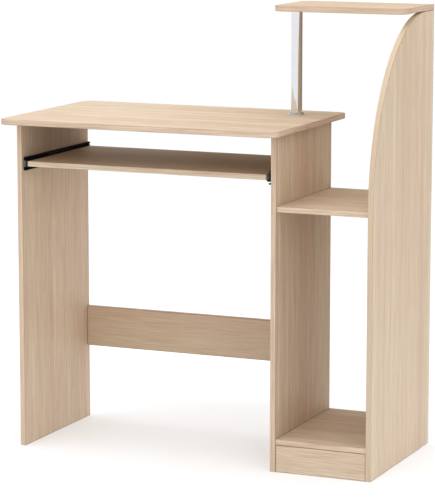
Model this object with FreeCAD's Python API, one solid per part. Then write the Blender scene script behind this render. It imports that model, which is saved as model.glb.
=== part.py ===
import FreeCAD, Part
import math
import os

from FreeCAD import Vector

# Flat-pack computer desk with a pull-out keyboard tray and a side tower.
# Right-handed frame in millimetres: +X to the sitter's right, +Y to the back, +Z up.
# The origin is on the floor, at the middle of the desk's overall width and depth.

# ---------------------------------------------------------------- driving dimensions
BOARD = 12.0                # thickness of every melamine board
DESK_HEIGHT = 750.0         # floor to the desktop's upper face
TOTAL_HEIGHT = 1000.0       # floor to the top shelf's upper face
DESKTOP_DEPTH = 440.0
SIDE_OVERHANG = 20.0        # desktop beyond the left and the middle panel
FRONT_OVERHANG = 54.0       # desktop in front of the panels
DESK_BAY = 600.0            # clear width between the left and the middle panel
TOWER_BAY = 209.0           # clear width between the middle and the tall panel
PANEL_DEPTH = 332.0         # left and middle panels, and both tower shelves
MIDDLE_SHELF_TOP = 584.0
BASE_SHELF_TOP = 73.0
SHELF_SETBACK = 4.0         # middle shelf behind the panels' front edges
BASE_SETBACK = 1.5          # base shelf and plinth behind the panels' front edges
STRETCHER_TOP = 269.0
STRETCHER_HEIGHT = 95.0
TRAY_TOP = 652.0
TRAY_DEPTH = 314.0
TRAY_SETBACK = 3.0
CURVE_RUN = 330.0           # depth over which the tall panel's front edge curves back
DESKTOP_CORNER = 25.0       # plan radius of the desktop's corners
TOP_SHELF_CORNER = 30.0     # plan radius of the top shelf's corners
TOP_SHELF_LENGTH = 312.0
TOP_SHELF_DEPTH = 194.0
SOFT_EDGE = 1.5             # rounding round the desktop and the top shelf
FINE_EDGE = 0.8             # rounding of the other boards' edges

TUBE_DIAMETER = 25.0
TUBE_WALL = 1.0
FLANGE_DIAMETER = 36.0
FLANGE_HEIGHT = 6.0
FLANGE_CROWN = 3.0          # rounding of a flange towards the tube
POST_INSET = 23.0           # post axis from the top shelf's left end

SLIDE_LENGTH = 320.0
SLIDE_HEIGHT = 29.5
SLIDE_DROP = 1.0            # slide axis below the tray's mid-thickness
SLIDE_WIDTH = 12.7          # panel face to tray edge
SLIDE_SHEET = 1.2
SLIDE_SETBACK = 8.0
STOP_LENGTH = 10.0          # plastic stop in the back end of each outer member
RACE_GAP = 4.9              # between the two members' flanges, where the balls run
BALL_DIAMETER = 5.2
BALL_CLEARANCE = 0.05
BALLS_PER_ROW = 8
BALL_PITCH = 12.0
CAGE_START = 110.0          # front end of the ball cage behind the slide's front end

CAM_REACH = 24.0            # board end to the cam lock's axis
CAM_DIAMETER = 12.0
CAM_DEPTH = 9.0
CAM_SHORT = 0.2             # cam lock shorter than its bore
DOWEL_DIAMETER = 6.0
DOWEL_IN_EDGE = 16.0
DOWEL_IN_FACE = 8.0
DOWEL_SPARE = 0.5           # empty bore beyond each end of a dowel
DOWEL_CHAMFER = 0.8
FIT = 0.05                  # radial clearance of fittings in their bores

# ---------------------------------------------------------------- places worked out from them
WIDTH = SIDE_OVERHANG + DESK_BAY + TOWER_BAY + 3 * BOARD
X_LEFT = -WIDTH / 2 + SIDE_OVERHANG             # left panel's outer face
X_MIDDLE = X_LEFT + BOARD + DESK_BAY            # middle panel's left face
X_TALL = X_MIDDLE + BOARD + TOWER_BAY           # tall panel's inner face
X_RIGHT = X_TALL + BOARD
Y_FRONT = -DESKTOP_DEPTH / 2 + FRONT_OVERHANG   # front edges of the three panels
Y_PANEL_BACK = Y_FRONT + PANEL_DEPTH
Y_BACK = DESKTOP_DEPTH / 2
Z_UNDER_DESKTOP = DESK_HEIGHT - BOARD
Z_UNDER_TOP_SHELF = TOTAL_HEIGHT - BOARD
X_TOP_SHELF = X_RIGHT - TOP_SHELF_LENGTH
Y_TOP_SHELF = Y_BACK - TOP_SHELF_DEPTH
X_POST = X_TOP_SHELF + POST_INSET
Y_POST = Y_BACK - TOP_SHELF_DEPTH / 2
Y_SLIDE = Y_FRONT + SLIDE_SETBACK
Z_SLIDE = TRAY_TOP - BOARD / 2 - SLIDE_DROP     # slide axis

X = Vector(1, 0, 0)
Y = Vector(0, 1, 0)
Z = Vector(0, 0, 1)

nodes = {}
cuts = {}


# ---------------------------------------------------------------- helpers
def box(x0, x1, y0, y1, z0, z1):
    return Part.makeBox(x1 - x0, y1 - y0, z1 - z0, Vector(x0, y0, z0))


def rod(start, direction, radius, length):
    """A solid cylinder from start along direction."""
    return Part.makeCylinder(radius, length, start, direction)


def turned(start, direction, steps):
    """A turned piece: steps is a list of (radius, length) taken in turn along direction."""
    piece = None
    point = start
    for radius, length in steps:
        step = rod(point, direction, radius, length)
        piece = step if piece is None else piece.fuse(step)
        point = point + direction * length
    return piece.removeSplitter()


def group(solids):
    return Part.makeCompound(solids)


def cut_later(node, tool):
    """Remember a bore or recess that the board called node is drilled with."""
    cuts.setdefault(node, []).append(tool)


def rounded_plate(x0, x1, y0, y1, z0, z1, radii):
    """A flat board with rounded corners: front-left, front-right, back-right and back-left radii."""
    plate = box(x0, x1, y0, y1, z0, z1)
    corners = [(x0, y0), (x1, y0), (x1, y1), (x0, y1)]
    for (cx, cy), radius in zip(corners, radii):
        if radius <= 0:
            continue
        upright = [e for e in plate.Edges if is_upright_at(e, cx, cy)]
        plate = plate.makeFillet(radius, upright)
    return plate


def is_upright_at(edge, cx, cy):
    near = 0.001
    ends = [v.Point for v in edge.Vertexes]
    return all(abs(p.x - cx) < near and abs(p.y - cy) < near for p in ends)


def soften_rim(plate, z0, z1, radius):
    """Round the upper and lower rims of a flat board."""
    near = 0.001
    rims = []
    for edge in plate.Edges:
        levels = [v.Point.z for v in edge.Vertexes]
        if all(abs(z - z0) < near for z in levels) or all(abs(z - z1) < near for z in levels):
            rims.append(edge)
    return plate.makeFillet(radius, rims)


def plain_board(x0, x1, y0, y1, z0, z1):
    """A rectangular board with finely rounded edges."""
    board = box(x0, x1, y0, y1, z0, z1)
    return board.makeFillet(FINE_EDGE, board.Edges)


# ---------------------------------------------------------------- knock-down fittings
CAM_BOLT_BORE = 2.75                    # radius of the bore that the bolt's shank passes through
CAM_THREAD = 9.0                        # length of bolt thread in the board that is joined on
CAM_THREAD_RADIUS = 2.45
CAM_SHANK = (2.2, 17.0)                 # radius and length of the bolt's shank, neck and head
CAM_NECK = (1.4, 3.5)
CAM_HEAD = (2.4, 3.0)
CAM_CLAW = ((-7.0, 0.6), (-2.6, 2.6), (-4.0, 2.6))
CAM_SLOT_WIDE = 0.6                     # half-width, half-length and depth of the cross recess
CAM_SLOT_LONG = 3.6
CAM_SLOT_DEEP = 1.6
DRILL_OVER = 1.0                        # how far a drilling tool starts outside its board

cams = []
cam_bolts = []
dowels = []


def cam_joint(point, inward, face, cam_board, bolt_board):
    """Join the end of cam_board to the face of bolt_board with a cam lock and its bolt.

    point is on the contact plane at mid-thickness, inward runs into cam_board, and
    face is the outward normal of the face that the cam is sunk into.
    """
    centre = point + inward * CAM_REACH
    mouth = centre + face * (BOARD / 2)
    cut_later(cam_board, rod(point - inward * DRILL_OVER, inward, CAM_BOLT_BORE, CAM_REACH + DRILL_OVER))
    cut_later(cam_board, rod(mouth + face * DRILL_OVER, face * -1, CAM_DIAMETER / 2,
                             CAM_DEPTH + DRILL_OVER))
    cut_later(bolt_board, rod(point + inward * DRILL_OVER, inward * -1, CAM_THREAD_RADIUS + FIT,
                              CAM_THREAD + DRILL_OVER))

    steps = [(CAM_THREAD_RADIUS, CAM_THREAD), CAM_SHANK, CAM_NECK, CAM_HEAD]
    cam_bolts.append(turned(point - inward * CAM_THREAD, inward, steps))

    side = inward.cross(face)
    cam = rod(mouth, face * -1, CAM_DIAMETER / 2 - FIT, CAM_DEPTH - CAM_SHORT)
    cam = cam.cut(oriented_box(centre, inward, side, face, *CAM_CLAW))
    slot_floor = BOARD / 2 - CAM_SLOT_DEEP
    slot_top = BOARD / 2 + DRILL_OVER
    for across, along in ((CAM_SLOT_WIDE, CAM_SLOT_LONG), (CAM_SLOT_LONG, CAM_SLOT_WIDE)):
        cam = cam.cut(oriented_box(centre, inward, side, face, (-across, across), (-along, along),
                                   (slot_floor, slot_top)))
    cams.append(cam)


def oriented_box(centre, a, b, c, span_a, span_b, span_c):
    """A box about centre, with its three spans along the perpendicular directions a, b and c."""
    corner = centre + a * span_a[0] + b * span_b[0] + c * span_c[0]
    edge = a * (span_a[1] - span_a[0])
    other = b * (span_b[1] - span_b[0])
    rise = c * (span_c[1] - span_c[0])
    outline = [corner, corner + edge, corner + edge + other, corner + other, corner]
    return Part.Face(Part.makePolygon(outline)).extrude(rise)


def dowel_joint(point, inward, edge_board, face_board):
    """A fluteless wooden dowel between an edge and a face; inward runs into edge_board."""
    radius = DOWEL_DIAMETER / 2
    cut_later(edge_board, rod(point - inward * DRILL_OVER, inward, radius + FIT,
                              DOWEL_IN_EDGE + DOWEL_SPARE + DRILL_OVER))
    cut_later(face_board, rod(point + inward * DRILL_OVER, inward * -1, radius + FIT,
                              DOWEL_IN_FACE + DOWEL_SPARE + DRILL_OVER))
    dowel = rod(point - inward * DOWEL_IN_FACE, inward, radius, DOWEL_IN_EDGE + DOWEL_IN_FACE)
    ends = [e for e in dowel.Edges if len(e.Vertexes) == 1]
    dowels.append(dowel.makeChamfer(DOWEL_CHAMFER, ends))


# ---------------------------------------------------------------- boards
def make_boards():
    desktop = rounded_plate(X_LEFT - SIDE_OVERHANG, X_MIDDLE + BOARD + SIDE_OVERHANG,
                            -DESKTOP_DEPTH / 2, Y_BACK, Z_UNDER_DESKTOP, DESK_HEIGHT,
                            [DESKTOP_CORNER] * 4)
    nodes["desktop"] = soften_rim(desktop, Z_UNDER_DESKTOP, DESK_HEIGHT, SOFT_EDGE)

    top_shelf = rounded_plate(X_TOP_SHELF, X_RIGHT, Y_TOP_SHELF, Y_BACK,
                              Z_UNDER_TOP_SHELF, TOTAL_HEIGHT,
                              [TOP_SHELF_CORNER, TOP_SHELF_CORNER, 0, TOP_SHELF_CORNER])
    nodes["top_shelf"] = soften_rim(top_shelf, Z_UNDER_TOP_SHELF, TOTAL_HEIGHT, SOFT_EDGE)

    nodes["left_side_panel"] = plain_board(X_LEFT, X_LEFT + BOARD, Y_FRONT, Y_PANEL_BACK,
                                           0, Z_UNDER_DESKTOP)
    nodes["middle_side_panel"] = plain_board(X_MIDDLE, X_MIDDLE + BOARD, Y_FRONT, Y_PANEL_BACK,
                                             0, Z_UNDER_DESKTOP)
    nodes["tall_side_panel"] = make_tall_panel()
    nodes["back_stretcher"] = plain_board(X_LEFT + BOARD, X_MIDDLE,
                                          Y_PANEL_BACK - BOARD, Y_PANEL_BACK,
                                          STRETCHER_TOP - STRETCHER_HEIGHT, STRETCHER_TOP)
    nodes["middle_shelf"] = plain_board(X_MIDDLE + BOARD, X_TALL, Y_FRONT + SHELF_SETBACK,
                                        Y_PANEL_BACK, MIDDLE_SHELF_TOP - BOARD, MIDDLE_SHELF_TOP)
    nodes["base_shelf"] = plain_board(X_MIDDLE + BOARD, X_TALL, Y_FRONT + BASE_SETBACK,
                                      Y_PANEL_BACK, BASE_SHELF_TOP - BOARD, BASE_SHELF_TOP)
    nodes["plinth_board"] = plain_board(X_MIDDLE + BOARD, X_TALL, Y_FRONT + BASE_SETBACK,
                                        Y_FRONT + BASE_SETBACK + BOARD, 0, BASE_SHELF_TOP - BOARD)
    nodes["keyboard_tray"] = plain_board(X_LEFT + BOARD + SLIDE_WIDTH, X_MIDDLE - SLIDE_WIDTH,
                                         Y_FRONT + TRAY_SETBACK, Y_FRONT + TRAY_SETBACK + TRAY_DEPTH,
                                         TRAY_TOP - BOARD, TRAY_TOP)


def make_tall_panel():
    """The tall panel: its front edge rises straight, then sweeps back in a quarter ellipse."""
    centre = Vector(X_TALL, Y_FRONT + CURVE_RUN, MIDDLE_SHELF_TOP)
    top_of_curve = Vector(centre.x, centre.y, Z_UNDER_TOP_SHELF)
    foot_of_curve = Vector(centre.x, Y_FRONT, centre.z)
    ellipse = Part.Ellipse(top_of_curve, foot_of_curve, centre)     # its long axis is upright
    sweep = Part.Arc(ellipse, 0, math.pi / 2)
    front_foot = Vector(X_TALL, Y_FRONT, 0)
    back_foot = Vector(X_TALL, Y_BACK, 0)
    back_top = Vector(X_TALL, Y_BACK, Z_UNDER_TOP_SHELF)
    edges = [sweep.toShape(),
             Part.LineSegment(foot_of_curve, front_foot).toShape(),
             Part.LineSegment(front_foot, back_foot).toShape(),
             Part.LineSegment(back_foot, back_top).toShape(),
             Part.LineSegment(back_top, top_of_curve).toShape()]
    outline = Part.Wire(Part.__sortEdges__(edges))
    panel = Part.Face(outline).extrude(X * BOARD)
    near = 0.001
    rims = []
    for edge in panel.Edges:
        places = [v.Point.x for v in edge.Vertexes]
        if all(abs(x - X_TALL) < near for x in places) or all(abs(x - X_RIGHT) < near for x in places):
            rims.append(edge)
    return panel.makeFillet(FINE_EDGE, rims)


# ---------------------------------------------------------------- where the fittings go
FITTING_INSET = 50.0                    # cams from the front and back edges of panels and shelves
PLINTH_CAM_HEIGHT = 38.0
PLINTH_DOWEL_HEIGHT = 16.0
STRETCHER_DOWELS = 32.0                 # above and below the stretcher's cam
TOP_CAM_INSET = 26.0                    # top shelf's cam from the back edge
TOP_DOWELS = 16.0                       # before and behind it


def place_fittings():
    half = BOARD / 2
    fore = Y_FRONT + FITTING_INSET
    aft = Y_PANEL_BACK - FITTING_INSET
    mid = (fore + aft) / 2

    # The desktop is held down on the left and the middle panel.
    for node, x in (("left_side_panel", X_LEFT + half), ("middle_side_panel", X_MIDDLE + half)):
        for y in (fore, aft):
            cam_joint(Vector(x, y, Z_UNDER_DESKTOP), Z * -1, X * -1, node, "desktop")
        dowel_joint(Vector(x, mid, Z_UNDER_DESKTOP), Z * -1, node, "desktop")

    # Both tower shelves hang between the middle and the tall panel, with cams underneath.
    ends = (("middle_side_panel", X_MIDDLE + BOARD, X), ("tall_side_panel", X_TALL, X * -1))
    for node, top in (("middle_shelf", MIDDLE_SHELF_TOP), ("base_shelf", BASE_SHELF_TOP)):
        z = top - half
        for panel, x, inward in ends:
            for y in (fore, aft):
                cam_joint(Vector(x, y, z), inward, Z * -1, node, panel)
            dowel_joint(Vector(x, mid, z), inward, node, panel)

    # The plinth stands under the base shelf's front edge.
    y = Y_FRONT + BASE_SETBACK + half
    for panel, x, inward in ends:
        cam_joint(Vector(x, y, PLINTH_CAM_HEIGHT), inward, Y, "plinth_board", panel)
        dowel_joint(Vector(x, y, PLINTH_DOWEL_HEIGHT), inward, "plinth_board", panel)

    # The stretcher ties the left and the middle panel together at the back.
    y = Y_PANEL_BACK - half
    z = STRETCHER_TOP - STRETCHER_HEIGHT / 2
    for panel, x, inward in (("left_side_panel", X_LEFT + BOARD, X),
                             ("middle_side_panel", X_MIDDLE, X * -1)):
        cam_joint(Vector(x, y, z), inward, Y, "back_stretcher", panel)
        for dz in (-STRETCHER_DOWELS, STRETCHER_DOWELS):
            dowel_joint(Vector(x, y, z + dz), inward, "back_stretcher", panel)

    # The top shelf lies on the flat end of the tall panel's upper edge.
    x = X_TALL + half
    y = Y_BACK - TOP_CAM_INSET
    cam_joint(Vector(x, y, Z_UNDER_TOP_SHELF), Z * -1, X * -1, "tall_side_panel", "top_shelf")
    for dy in (-TOP_DOWELS, TOP_DOWELS):
        dowel_joint(Vector(x, y + dy, Z_UNDER_TOP_SHELF), Z * -1, "tall_side_panel", "top_shelf")


# ---------------------------------------------------------------- chrome post
PLUG_LENGTH = 18.0
THREAD_RADIUS = 3.0
THREAD_IN_PLUG = 14.0
BOLT_PLAY = 0.25
WASHER_RADIUS = 9.0
WASHER_THICKNESS = 1.5
BOLT_HEAD_RADIUS = 6.0
BOLT_HEAD_HEIGHT = 3.5
BOLT_CROWN = 1.5
KEY_RADIUS = 2.0
KEY_DEPTH = 2.0
STUD_IN_WOOD = 9.0
STUD_SPARE = 0.5


def make_post():
    foot = Vector(X_POST, Y_POST, DESK_HEIGHT)
    head = Vector(X_POST, Y_POST, Z_UNDER_TOP_SHELF)
    height = Z_UNDER_TOP_SHELF - DESK_HEIGHT
    radius = TUBE_DIAMETER / 2
    tube = rod(foot, Z, radius, height)
    nodes["post_tube"] = tube.cut(rod(foot, Z, radius - TUBE_WALL, height))
    nodes["post_lower_flange"] = make_flange(foot, Z)
    nodes["post_upper_flange"] = make_flange(head, Z * -1)

    # A threaded plug closes each end of the tube.
    plugs = []
    for end, inward in ((foot, Z), (head, Z * -1)):
        plug = rod(end, inward, radius - TUBE_WALL - FIT, PLUG_LENGTH)
        plugs.append(plug.cut(rod(end, inward, THREAD_RADIUS + FIT, PLUG_LENGTH)))
    nodes["post_end_plugs"] = group(plugs)

    # The lower end is pulled down by a bolt and washer from under the desktop.
    under = Vector(X_POST, Y_POST, Z_UNDER_DESKTOP)
    cut_later("desktop", rod(under - Z * DRILL_OVER, Z, THREAD_RADIUS + BOLT_PLAY,
                             BOARD + 2 * DRILL_OVER))
    washer = rod(under - Z * WASHER_THICKNESS, Z, WASHER_RADIUS, WASHER_THICKNESS)
    nodes["post_washer"] = washer.cut(rod(under - Z * WASHER_THICKNESS, Z, THREAD_RADIUS + BOLT_PLAY,
                                          WASHER_THICKNESS))
    start = under - Z * (WASHER_THICKNESS + BOLT_HEAD_HEIGHT)
    bolt = turned(start, Z, [(BOLT_HEAD_RADIUS, BOLT_HEAD_HEIGHT),
                             (THREAD_RADIUS, WASHER_THICKNESS + BOARD + THREAD_IN_PLUG)])
    near = 0.001
    crown = [e for e in bolt.Edges if abs(e.BoundBox.ZMax - start.z) < near and e.BoundBox.ZLength < near]
    bolt = bolt.makeFillet(BOLT_CROWN, crown)
    nodes["post_bolt"] = bolt.cut(hexagon_prism(start, Z, KEY_RADIUS, KEY_DEPTH))

    # The upper end screws up on a hanger stud, half machine thread and half wood thread.
    cut_later("top_shelf", rod(head - Z * DRILL_OVER, Z, CAM_THREAD_RADIUS + FIT,
                               STUD_IN_WOOD + STUD_SPARE + DRILL_OVER))
    nodes["post_hanger_stud"] = turned(head - Z * THREAD_IN_PLUG, Z,
                                       [(THREAD_RADIUS, THREAD_IN_PLUG),
                                        (CAM_THREAD_RADIUS, STUD_IN_WOOD)])


def make_flange(base, outward):
    """A spun collar round the tube, wide at the board and rounded off towards the tube."""
    collar = rod(base, outward, FLANGE_DIAMETER / 2, FLANGE_HEIGHT)
    far = base + outward * FLANGE_HEIGHT
    crown = [e for e in collar.Edges if abs(e.BoundBox.Center.z - far.z) < 0.001]
    collar = collar.makeFillet(FLANGE_CROWN, crown)
    return collar.cut(rod(base, outward, TUBE_DIAMETER / 2 + FIT, FLANGE_HEIGHT))


def hexagon_prism(base, direction, radius, length):
    turn = math.radians(60)
    points = [base + X * (radius * math.cos(k * turn)) + Y * (radius * math.sin(k * turn))
              for k in range(7)]
    return Part.Face(Part.makePolygon(points)).extrude(direction * length)


# ---------------------------------------------------------------- ball-bearing slides
# A slide's section is drawn with u out from the panel's face and v up from the slide's axis.
# Both members are channels that face each other: the outer one is screwed to the panel, the
# inner one to the tray's edge, and a cage of balls runs between their flanges.
OUTER_HALF = SLIDE_HEIGHT / 2
INNER_HALF = OUTER_HALF - SLIDE_SHEET - RACE_GAP
OUTER_FLANGE_END = 8.3
OUTER_LIP = 1.4
INNER_FLANGE_END = 2.7
ROW_U = 4.8
ROW_V = INNER_HALF + RACE_GAP / 2
CAGE_WEB = (1.6, 2.1)
CAGE_STRIP = 0.8
CAGE_STRIP_END = 7.9
CAGE_MARGIN = 8.0                       # from a cage's ends to its first and last ball
SCREW_PLACES = (32.0, 160.0, 280.0)     # screws along each slide, from its front end
PANEL_SCREW_RADIUS = 1.5
PANEL_SCREW_LENGTH = 10.0
PANEL_HEAD_RADIUS = 3.0
TRAY_SCREW_RADIUS = 1.5
TRAY_SCREW_LENGTH = 20.0
TRAY_HEAD_RADIUS = 3.0
TRAY_HEAD_HEIGHT = 1.8
DRILL_SPARE = 0.2


def bar(side, u0, u1, v0, v1, y0, y1):
    """A bar of a slide: side is (x of the panel's face, +1 or -1 towards the tray)."""
    face, sign = side
    x0, x1 = sorted((face + sign * u0, face + sign * u1))
    return box(x0, x1, y0, y1, Z_SLIDE + v0, Z_SLIDE + v1)


def spot(side, u, v, y):
    face, sign = side
    return Vector(face + sign * u, y, Z_SLIDE + v)


def channel(side, web, flange_end, half, lip, y0, y1):
    """A channel with its web at u from web[0] to web[1], both flanges out to flange_end, and lips."""
    piece = bar(side, web[0], web[1], -half, half, y0, y1)
    low, high = sorted((web[0], flange_end))
    for sign in (-1, 1):
        v0, v1 = sorted((sign * half, sign * (half - SLIDE_SHEET)))
        piece = piece.fuse(bar(side, low, high, v0, v1, y0, y1))
        if lip:
            v0, v1 = sorted((sign * half, sign * (half - SLIDE_SHEET - lip)))
            piece = piece.fuse(bar(side, flange_end - SLIDE_SHEET, flange_end, v0, v1, y0, y1))
    return piece.removeSplitter()


def groove(side, piece, y0, y1):
    """Roll a ball race into both flanges of a member."""
    radius = BALL_DIAMETER / 2 + BALL_CLEARANCE
    for sign in (-1, 1):
        piece = piece.cut(rod(spot(side, ROW_U, sign * ROW_V, y0 - 1), Y, radius, y1 - y0 + 2))
    return piece


def make_cage(side, y0):
    """A strip cage bent round the inner member, with a hole for each ball; returns cage and balls."""
    y1 = y0 + (BALLS_PER_ROW - 1) * BALL_PITCH + 2 * CAGE_MARGIN
    radius = BALL_DIAMETER / 2
    outer = ROW_V + CAGE_STRIP / 2
    cage = bar(side, CAGE_WEB[0], CAGE_WEB[1], -outer, outer, y0, y1)
    for sign in (-1, 1):
        v0, v1 = sorted((sign * outer, sign * (outer - CAGE_STRIP)))
        cage = cage.fuse(bar(side, CAGE_WEB[0], CAGE_STRIP_END, v0, v1, y0, y1))
    balls = []
    for sign in (-1, 1):
        for k in range(BALLS_PER_ROW):
            centre = spot(side, ROW_U, sign * ROW_V, y0 + CAGE_MARGIN + k * BALL_PITCH)
            cage = cage.cut(rod(centre - Z * CAGE_STRIP, Z, radius + BALL_CLEARANCE, 2 * CAGE_STRIP))
            balls.append(Part.makeSphere(radius, centre))
    return cage.removeSplitter(), group(balls)


def make_slide(hand, side, panel):
    """One slide: its two members, cage, balls and stop become nodes; returns its two sets of screws."""
    out = Vector(side[1], 0, 0)
    y0 = Y_SLIDE
    y1 = Y_SLIDE + SLIDE_LENGTH
    y_inner = y1 - STOP_LENGTH
    outer = channel(side, (0, SLIDE_SHEET), OUTER_FLANGE_END, OUTER_HALF, OUTER_LIP, y0, y1)
    outer = groove(side, outer, y0, y1)
    inner = channel(side, (SLIDE_WIDTH - SLIDE_SHEET, SLIDE_WIDTH), INNER_FLANGE_END, INNER_HALF, 0,
                    y0, y_inner)
    inner = groove(side, inner, y0, y_inner)

    panel_screws = []
    tray_screws = []
    for place in SCREW_PLACES:
        y = y0 + place
        # A countersunk screw holds the outer member, with its head flush in the web.
        root = spot(side, 0, 0, y)
        outer = outer.cut(Part.makeCone(PANEL_SCREW_RADIUS + FIT, PANEL_HEAD_RADIUS + FIT,
                                        SLIDE_SHEET, root, out))
        shank = rod(root - out * PANEL_SCREW_LENGTH, out, PANEL_SCREW_RADIUS, PANEL_SCREW_LENGTH)
        countersink = Part.makeCone(PANEL_SCREW_RADIUS, PANEL_HEAD_RADIUS, SLIDE_SHEET, root, out)
        panel_screws.append(shank.fuse(countersink).removeSplitter())
        cut_later(panel, rod(root + out, out * -1, PANEL_SCREW_RADIUS + FIT,
                             1 + PANEL_SCREW_LENGTH + DRILL_SPARE))
        # A pan-head screw inside the inner member holds it to the tray's edge.
        seat = spot(side, SLIDE_WIDTH - SLIDE_SHEET, 0, y)
        inner = inner.cut(rod(seat - out, out, TRAY_SCREW_RADIUS + DRILL_SPARE, SLIDE_SHEET + 2))
        steps = [(TRAY_HEAD_RADIUS, TRAY_HEAD_HEIGHT),
                 (TRAY_SCREW_RADIUS, SLIDE_SHEET + TRAY_SCREW_LENGTH)]
        tray_screws.append(turned(seat - out * TRAY_HEAD_HEIGHT, out, steps))
        mouth = spot(side, SLIDE_WIDTH, 0, y)
        cut_later("keyboard_tray", rod(mouth - out, out, TRAY_SCREW_RADIUS + FIT,
                                       1 + TRAY_SCREW_LENGTH + DRILL_SPARE))

    nodes[hand + "_slide_outer_member"] = outer
    nodes[hand + "_slide_inner_member"] = inner
    cage, balls = make_cage(side, Y_SLIDE + CAGE_START)
    nodes[hand + "_ball_cage"] = cage
    nodes[hand + "_slide_balls"] = balls
    nodes[hand + "_slide_stop"] = make_stop(side, y_inner, y1)
    return panel_screws, tray_screws


def make_stop(side, y0, y1):
    """A plastic block that fills the outer channel's back end and stops the inner member."""
    spare = 0.2
    stop = bar(side, SLIDE_SHEET, OUTER_FLANGE_END - SLIDE_SHEET - spare,
               -OUTER_HALF + SLIDE_SHEET, OUTER_HALF - SLIDE_SHEET, y0 + spare, y1 - spare)
    return stop.makeFillet(0.6, stop.Edges)


def make_slides():
    left = (X_LEFT + BOARD, 1)
    right = (X_MIDDLE, -1)
    panel_a, tray_a = make_slide("left", left, "left_side_panel")
    panel_b, tray_b = make_slide("right", right, "middle_side_panel")
    nodes["slide_panel_screws"] = group(panel_a + panel_b)
    nodes["slide_tray_screws"] = group(tray_a + tray_b)


# ---------------------------------------------------------------- build and write
def drill_boards():
    for node, tools in cuts.items():
        nodes[node] = nodes[node].cut(tools)


make_boards()
place_fittings()
make_post()
make_slides()
nodes["cam_locks"] = group(cams)
nodes["cam_bolts"] = group(cam_bolts)
nodes["wooden_dowels"] = group(dowels)
drill_boards()

os.makedirs("parts", exist_ok=True)
for name, shape in nodes.items():
    shape.exportStep("parts/" + name + ".step")
    print(name, "solids", len(shape.Solids), "valid", shape.isValid(), "volume", round(shape.Volume))
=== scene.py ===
import math

import bmesh
import bpy
import numpy as np
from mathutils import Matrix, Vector


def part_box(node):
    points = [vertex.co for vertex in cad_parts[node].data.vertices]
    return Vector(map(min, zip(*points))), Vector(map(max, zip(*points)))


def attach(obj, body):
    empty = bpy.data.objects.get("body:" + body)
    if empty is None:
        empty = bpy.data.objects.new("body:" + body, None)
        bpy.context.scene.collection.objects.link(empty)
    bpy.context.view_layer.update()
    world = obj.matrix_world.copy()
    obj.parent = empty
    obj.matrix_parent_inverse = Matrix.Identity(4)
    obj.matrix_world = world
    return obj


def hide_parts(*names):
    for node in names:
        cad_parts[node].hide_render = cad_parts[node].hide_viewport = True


# The desk as it is built: a pale oak-effect flat-pack computer desk, 865 mm wide and 1 m high,
# with its pull-out keyboard tray pushed in. Its boards, fittings and slides come with the frame.
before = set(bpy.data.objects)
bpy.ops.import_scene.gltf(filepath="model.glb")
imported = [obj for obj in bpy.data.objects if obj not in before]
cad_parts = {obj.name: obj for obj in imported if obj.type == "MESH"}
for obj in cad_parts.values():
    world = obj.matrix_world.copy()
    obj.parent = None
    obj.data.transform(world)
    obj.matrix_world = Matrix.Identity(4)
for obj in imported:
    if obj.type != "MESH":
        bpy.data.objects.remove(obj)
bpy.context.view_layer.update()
scene = bpy.context.scene

# The view is from the front and to the right of the desk, a little above the desktop, through a
# long lens, so upright edges stay almost upright.
view_target = Vector((0.0035, 0.0, 0.452))
view_distance = 5.6
view_azimuth = math.radians(23.4)
view_height = math.radians(9.355)
toward_camera = Vector((math.sin(view_azimuth) * math.cos(view_height),
                        -math.cos(view_azimuth) * math.cos(view_height),
                        math.sin(view_height)))
camera = bpy.data.objects.new("view", bpy.data.cameras.new("view"))
camera.data.sensor_width = 36.0
camera.data.lens = 179.8
camera.data.clip_end = 60.0
camera.location = view_target + toward_camera * view_distance
camera.rotation_euler = (-toward_camera).to_track_quat("-Z", "Y").to_euler()
scene.collection.objects.link(camera)
scene.camera = camera


# The room is a plain pale floor under a bright dome, with one wide softbox overhead and a weaker one
# in front, so that upper faces are the lightest and shadows have no hard edge. A curved brown flag
# stands behind and to the right, where only the chrome sees it, and gives the post its dark side.
overhead_watts = 42.0
front_watts = 16.0
horizon_light = 0.745
zenith_light = 1.24
right_lift = 0.30
backdrop_light = 1.05
ceiling_light = 0.55
ceiling_from = 0.12
ceiling_to = 0.60
contrast_gamma = 0.84
flag_colour = (0.36, 0.285, 0.215, 1.0)
flag_reach = 1.7
flag_height = 3.0
flag_from = math.radians(14.0)
flag_to = math.radians(116.0)
flag_columns = 33
floor_colour = (0.67, 0.675, 0.69, 1.0)
floor_reach = 14.0
floor_glow = 0.29
black = (0.0, 0.0, 0.0, 1.0)
white = (1.0, 1.0, 1.0, 1.0)


def find(sockets, key):
    """A node's socket by its number, identifier or name."""
    if isinstance(key, int):
        return sockets[key]
    return next(s for s in sockets if key in (s.identifier, s.name))


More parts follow.
